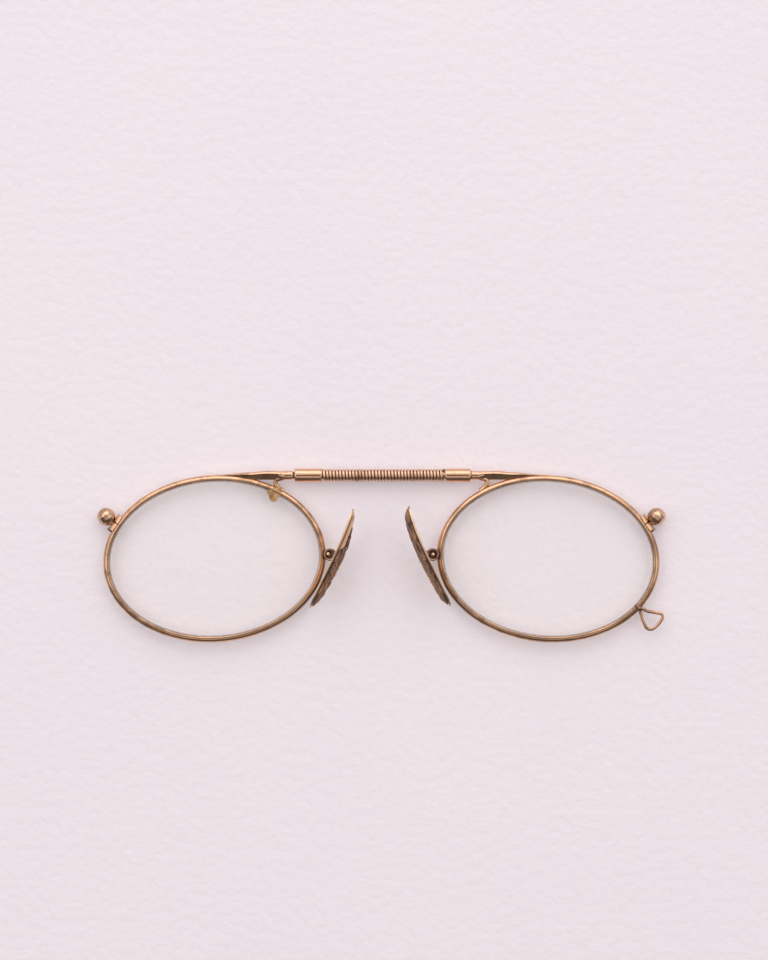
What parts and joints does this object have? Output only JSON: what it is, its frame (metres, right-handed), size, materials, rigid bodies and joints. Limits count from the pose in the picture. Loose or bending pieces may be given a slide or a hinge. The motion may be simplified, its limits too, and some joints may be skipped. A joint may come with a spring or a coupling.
{
  "type": "pince-nez eyeglasses",
  "caption": "Antique pince-nez eyeglasses: two oval wire-rimmed lenses on a telescoping spring bar, with rocking nose pads, ball finger pieces and a cord eye.",
  "frame": {"origin": "middle of the bounding box, on the plane that the eyeglasses rest on when they lie on their front", "axes": "+X from the left lens to the right one, +Y towards the brow, +Z towards the wearer's face"},
  "size_m": [0.1038, 0.0316, 0.0072],
  "materials": {
    "rolled_gold": "worn rolled gold with brown patina in the corners",
    "spring_wire": "drawn wire, tarnished between the turns",
    "screw_brass": "dull, darkened in the slot",
    "pad_metal": "worn rolled gold, bright at the brow end and dark below",
    "pad_cork": "old dark cork, matt and crumbling",
    "dried_packing": "dry amber packing",
    "lens_glass": "clear polished glass"
  },
  "bodies": {
    "left_frame": {"left_rim": "rolled_gold", "left_lens": "lens_glass", "left_upper_joint_block": "rolled_gold", "left_lower_joint_block": "rolled_gold", "left_joint_screw": "screw_brass", "left_finger_knob": "rolled_gold", "left_pad_post": "rolled_gold", "left_pad_pin": "screw_brass", "left_bar_arm": "rolled_gold", "left_arm_brace": "rolled_gold", "left_slide_rod": "rolled_gold", "right_ferrule": "rolled_gold", "coil_spring": "spring_wire", "left_lens_shim": "dried_packing"},
    "right_frame": {"right_rim": "rolled_gold", "right_lens": "lens_glass", "right_upper_joint_block": "rolled_gold", "right_lower_joint_block": "rolled_gold", "right_joint_screw": "screw_brass", "right_finger_knob": "rolled_gold", "right_pad_post": "rolled_gold", "right_pad_pin": "screw_brass", "right_bar_arm": "rolled_gold", "right_arm_brace": "rolled_gold", "right_slide_rod": "rolled_gold", "left_ferrule": "rolled_gold", "cord_loop": "rolled_gold"},
    "left_pad": {"left_pad_plate": "pad_metal", "left_pad_cork": "pad_cork"},
    "right_pad": {"right_pad_plate": "pad_metal", "right_pad_cork": "pad_cork"}
  },
  "joints": [
    {"name": "bar_slide", "type": "slide", "parent": "left_frame", "child": "right_frame", "axis": [1, 0, 0], "range_m": [0, 0.008], "stiffness_N_per_m": 120, "springref_m": -0.003, "deforming": ["coil_spring"]},
    {"name": "left_pad_rock", "type": "hinge", "parent": "left_frame", "child": "left_pad", "pos_m": [-0.0093, 0.00024, 0.003], "axis": [0, 0, 1], "range_deg": [-12, 12]},
    {"name": "right_pad_rock", "type": "hinge", "parent": "right_frame", "child": "right_pad", "pos_m": [0.0093, 0.00024, 0.003], "axis": [0, 0, 1], "range_deg": [-12, 12]}
  ]
}
